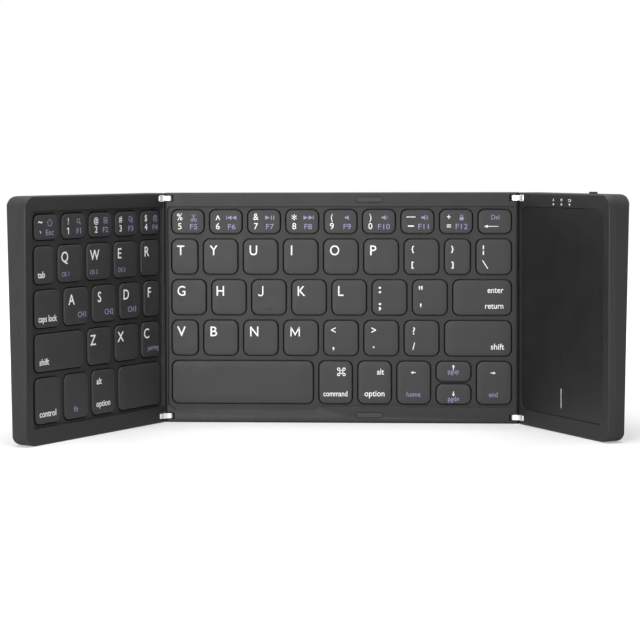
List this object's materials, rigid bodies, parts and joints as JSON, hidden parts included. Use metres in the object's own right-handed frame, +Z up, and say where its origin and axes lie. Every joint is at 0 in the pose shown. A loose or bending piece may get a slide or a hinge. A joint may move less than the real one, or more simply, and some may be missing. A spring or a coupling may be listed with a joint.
{
  "type": "folding keyboard",
  "caption": "Three-part folding keyboard with a touchpad wing, its panels joined by paired-pivot metal links, standing on edge with both wings swung forward.",
  "frame": {"origin": "middle of the centre panel's lower edge face, on which it stands, halfway between front and back there", "axes": "+Z up the panels from the space bar edge to the number row edge, +X to the right as typed on, keys of the centre panel facing -Y"},
  "size_m": [0.2434, 0.0844, 0.0988],
  "materials": {
    "key_plastic": "fine matte",
    "front_plastic": "fine matte",
    "cover_plastic": "fine matte",
    "touchpad_surface": "smooth matte",
    "spring_steel": "rolled",
    "silicone": "moulded",
    "nickel": "nickel plated",
    "rubber": "moulded matte",
    "steel": "turned",
    "hinge_metal": "satin",
    "ribbon_film": "film",
    "circuit_board": "solder resist",
    "battery_foil": "foil pouch",
    "lens_plastic": "diffusing",
    "switch_plastic": "moulded"
  },
  "bodies": {
    "centre": {"centre_frame": "front_plastic", "centre_back_cover": "cover_plastic", "centre_support_plate": "spring_steel", "centre_dome_sheet": "silicone", "centre_bumper_pads": "rubber", "centre_magnets": "nickel", "centre_feet": "rubber", "centre_screws": "steel", "centre_hinge_pins": "steel"},
    "left_links": {"left_hinge_links": "hinge_metal"},
    "left_wing": {"left_frame": "front_plastic", "left_back_cover": "cover_plastic", "left_support_plate": "spring_steel", "left_dome_sheet": "silicone", "left_magnets": "nickel", "left_feet": "rubber", "left_screws": "steel", "left_hinge_pins": "steel", "left_flex_ribbon": "ribbon_film"},
    "right_links": {"right_hinge_links": "hinge_metal"},
    "right_wing": {"right_frame": "front_plastic", "right_back_cover": "cover_plastic", "touchpad_support_plate": "spring_steel", "battery": "battery_foil", "main_circuit_board": "circuit_board", "usb_socket": "steel", "indicator_lenses": "lens_plastic", "right_magnets": "nickel", "right_feet": "rubber", "right_screws": "steel", "right_hinge_pins": "steel", "right_flex_ribbon": "ribbon_film"},
    "touchpad": {"touchpad_plate": "touchpad_surface", "touchpad_circuit": "circuit_board"},
    "power_switch": {"power_switch_knob": "switch_plastic"},
    "left_number_keys": {"left_number_keys": "key_plastic"},
    "tab_key": {"tab_key": "key_plastic"},
    "left_top_letters_keys": {"left_top_letters": "key_plastic"},
    "caps_lock_key": {"caps_lock_key": "key_plastic"},
    "left_home_letters_keys": {"left_home_letters": "key_plastic"},
    "left_shift_key": {"left_shift_key": "key_plastic"},
    "left_bottom_letters_keys": {"left_bottom_letters": "key_plastic"},
    "control_key": {"control_key": "key_plastic"},
    "fn_key": {"fn_key": "key_plastic"},
    "left_alt_key": {"left_alt_key": "key_plastic"},
    "left_space_key": {"left_space_key": "key_plastic"},
    "centre_number_keys": {"centre_number_keys": "key_plastic"},
    "backspace_key": {"backspace_key": "key_plastic"},
    "centre_top_letters_keys": {"centre_top_letters": "key_plastic"},
    "centre_home_letters_keys": {"centre_home_letters": "key_plastic"},
    "enter_key": {"enter_key": "key_plastic"},
    "centre_bottom_letters_keys": {"centre_bottom_letters": "key_plastic"},
    "right_shift_key": {"right_shift_key": "key_plastic"},
    "space_bar": {"space_bar": "key_plastic"},
    "command_key": {"command_key": "key_plastic"},
    "right_alt_key": {"right_alt_key": "key_plastic"},
    "side_arrow_keys": {"side_arrow_keys": "key_plastic"},
    "up_arrow_key": {"up_arrow_key": "key_plastic"},
    "down_arrow_key": {"down_arrow_key": "key_plastic"}
  },
  "joints": [
    {"name": "left_wing_fold", "type": "hinge", "parent": "left_links", "child": "left_wing", "pos_m": [-0.07795, -0.00402, 0.049], "axis": [0, 0, 1], "range_deg": [-29.6, 60.4]},
    {"name": "left_link_turn", "type": "hinge", "parent": "centre", "child": "left_links", "pos_m": [-0.0736, -0.00155, 0.049], "axis": [0, 0, 1], "range_deg": [-29.6, 60.4]},
    {"name": "right_wing_fold", "type": "hinge", "parent": "right_links", "child": "right_wing", "pos_m": [0.07795, -0.00402, 0.049], "axis": [0, 0, -1], "range_deg": [-29.6, 60.4]},
    {"name": "right_link_turn", "type": "hinge", "parent": "centre", "child": "right_links", "pos_m": [0.0736, -0.00155, 0.049], "axis": [0, 0, -1], "range_deg": [-29.6, 60.4]},
    {"name": "power_switch_slide", "type": "slide", "parent": "right_wing", "child": "power_switch", "axis": [-0.512, 0.859, 0], "range_m": [0, 0.004]},
    {"name": "touchpad_click", "type": "hinge", "parent": "right_wing", "child": "touchpad", "pos_m": [0.09168, -0.02901, 0.0918], "axis": [0.512, -0.859, 0], "range_deg": [0, 0.3], "stiffness_Nm_per_rad": 30},
    {"name": "centre_number_keys_press", "type": "slide", "parent": "centre", "child": "centre_number_keys", "axis": [0, 1, 0], "range_m": [0, 0.0012], "stiffness_N_per_m": 350},
    {"name": "backspace_key_press", "type": "slide", "parent": "centre", "child": "backspace_key", "axis": [0, 1, 0], "range_m": [0, 0.0012], "stiffness_N_per_m": 350},
    {"name": "centre_top_letters_press", "type": "slide", "parent": "centre", "child": "centre_top_letters_keys", "axis": [0, 1, 0], "range_m": [0, 0.0012], "stiffness_N_per_m": 350},
    {"name": "centre_home_letters_press", "type": "slide", "parent": "centre", "child": "centre_home_letters_keys", "axis": [0, 1, 0], "range_m": [0, 0.0012], "stiffness_N_per_m": 350},
    {"name": "enter_key_press", "type": "slide", "parent": "centre", "child": "enter_key", "axis": [0, 1, 0], "range_m": [0, 0.0012], "stiffness_N_per_m": 350},
    {"name": "centre_bottom_letters_press", "type": "slide", "parent": "centre", "child": "centre_bottom_letters_keys", "axis": [0, 1, 0], "range_m": [0, 0.0012], "stiffness_N_per_m": 350},
    {"name": "right_shift_key_press", "type": "slide", "parent": "centre", "child": "right_shift_key", "axis": [0, 1, 0], "range_m": [0, 0.0012], "stiffness_N_per_m": 350},
    {"name": "space_bar_press", "type": "slide", "parent": "centre", "child": "space_bar", "axis": [0, 1, 0], "range_m": [0, 0.0012], "stiffness_N_per_m": 350},
    {"name": "command_key_press", "type": "slide", "parent": "centre", "child": "command_key", "axis": [0, 1, 0], "range_m": [0, 0.0012], "stiffness_N_per_m": 350},
    {"name": "right_alt_key_press", "type": "slide", "parent": "centre", "child": "right_alt_key", "axis": [0, 1, 0], "range_m": [0, 0.0012], "stiffness_N_per_m": 350},
    {"name": "side_arrow_keys_press", "type": "slide", "parent": "centre", "child": "side_arrow_keys", "axis": [0, 1, 0], "range_m": [0, 0.0012], "stiffness_N_per_m": 350},
    {"name": "up_arrow_key_press", "type": "slide", "parent": "centre", "child": "up_arrow_key", "axis": [0, 1, 0], "range_m": [0, 0.0012], "stiffness_N_per_m": 350},
    {"name": "down_arrow_key_press", "type": "slide", "parent": "centre", "child": "down_arrow_key", "axis": [0, 1, 0], "range_m": [0, 0.0012], "stiffness_N_per_m": 350},
    {"name": "left_number_keys_press", "type": "slide", "parent": "left_wing", "child": "left_number_keys", "axis": [-0.859, 0.512, 0], "range_m": [0, 0.0012], "stiffness_N_per_m": 350},
    {"name": "tab_key_press", "type": "slide", "parent": "left_wing", "child": "tab_key", "axis": [-0.859, 0.512, 0], "range_m": [0, 0.0012], "stiffness_N_per_m": 350},
    {"name": "left_top_letters_press", "type": "slide", "parent": "left_wing", "child": "left_top_letters_keys", "axis": [-0.859, 0.512, 0], "range_m": [0, 0.0012], "stiffness_N_per_m": 350},
    {"name": "caps_lock_key_press", "type": "slide", "parent": "left_wing", "child": "caps_lock_key", "axis": [-0.859, 0.512, 0], "range_m": [0, 0.0012], "stiffness_N_per_m": 350},
    {"name": "left_home_letters_press", "type": "slide", "parent": "left_wing", "child": "left_home_letters_keys", "axis": [-0.859, 0.512, 0], "range_m": [0, 0.0012], "stiffness_N_per_m": 350},
    {"name": "left_shift_key_press", "type": "slide", "parent": "left_wing", "child": "left_shift_key", "axis": [-0.859, 0.512, 0], "range_m": [0, 0.0012], "stiffness_N_per_m": 350},
    {"name": "left_bottom_letters_press", "type": "slide", "parent": "left_wing", "child": "left_bottom_letters_keys", "axis": [-0.859, 0.512, 0], "range_m": [0, 0.0012], "stiffness_N_per_m": 350},
    {"name": "control_key_press", "type": "slide", "parent": "left_wing", "child": "control_key", "axis": [-0.859, 0.512, 0], "range_m": [0, 0.0012], "stiffness_N_per_m": 350},
    {"name": "fn_key_press", "type": "slide", "parent": "left_wing", "child": "fn_key", "axis": [-0.859, 0.512, 0], "range_m": [0, 0.0012], "stiffness_N_per_m": 350},
    {"name": "left_alt_key_press", "type": "slide", "parent": "left_wing", "child": "left_alt_key", "axis": [-0.859, 0.512, 0], "range_m": [0, 0.0012], "stiffness_N_per_m": 350},
    {"name": "left_space_key_press", "type": "slide", "parent": "left_wing", "child": "left_space_key", "axis": [-0.859, 0.512, 0], "range_m": [0, 0.0012], "stiffness_N_per_m": 350}
  ],
  "couplings": [
    {"joint": "left_link_turn", "follows": "left_wing_fold", "ratio": 1},
    {"joint": "right_link_turn", "follows": "right_wing_fold", "ratio": 1}
  ]
}
